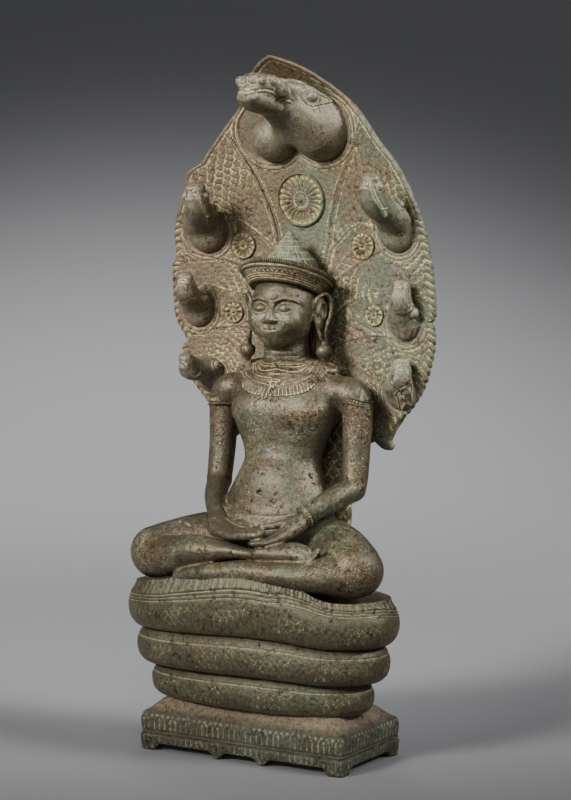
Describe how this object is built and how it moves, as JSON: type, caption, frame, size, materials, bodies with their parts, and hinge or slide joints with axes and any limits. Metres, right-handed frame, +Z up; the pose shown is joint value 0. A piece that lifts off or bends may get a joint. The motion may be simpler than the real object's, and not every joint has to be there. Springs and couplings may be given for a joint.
{
  "type": "seated figure sheltered by a serpent hood, bronze sculpture",
  "caption": "Bronze figure meditating cross-legged on a coiled serpent whose many-headed hood rises behind it, on a footed plinth.",
  "frame": {"origin": "centre of the footprint, on the plane under the plinth's feet", "axes": "+Z up, the figure faces -Y, +X is on the right of someone who looks at it"},
  "size_m": [0.2618, 0.1372, 0.584],
  "materials": {
    "plinth": "satin",
    "coils": "satin",
    "figure": "satin",
    "hood": "satin"
  },
  "bodies": {
    "root": {"plinth": "plinth", "coils": "coils", "figure": "figure", "hood": "hood"}
  },
  "joints": []
}
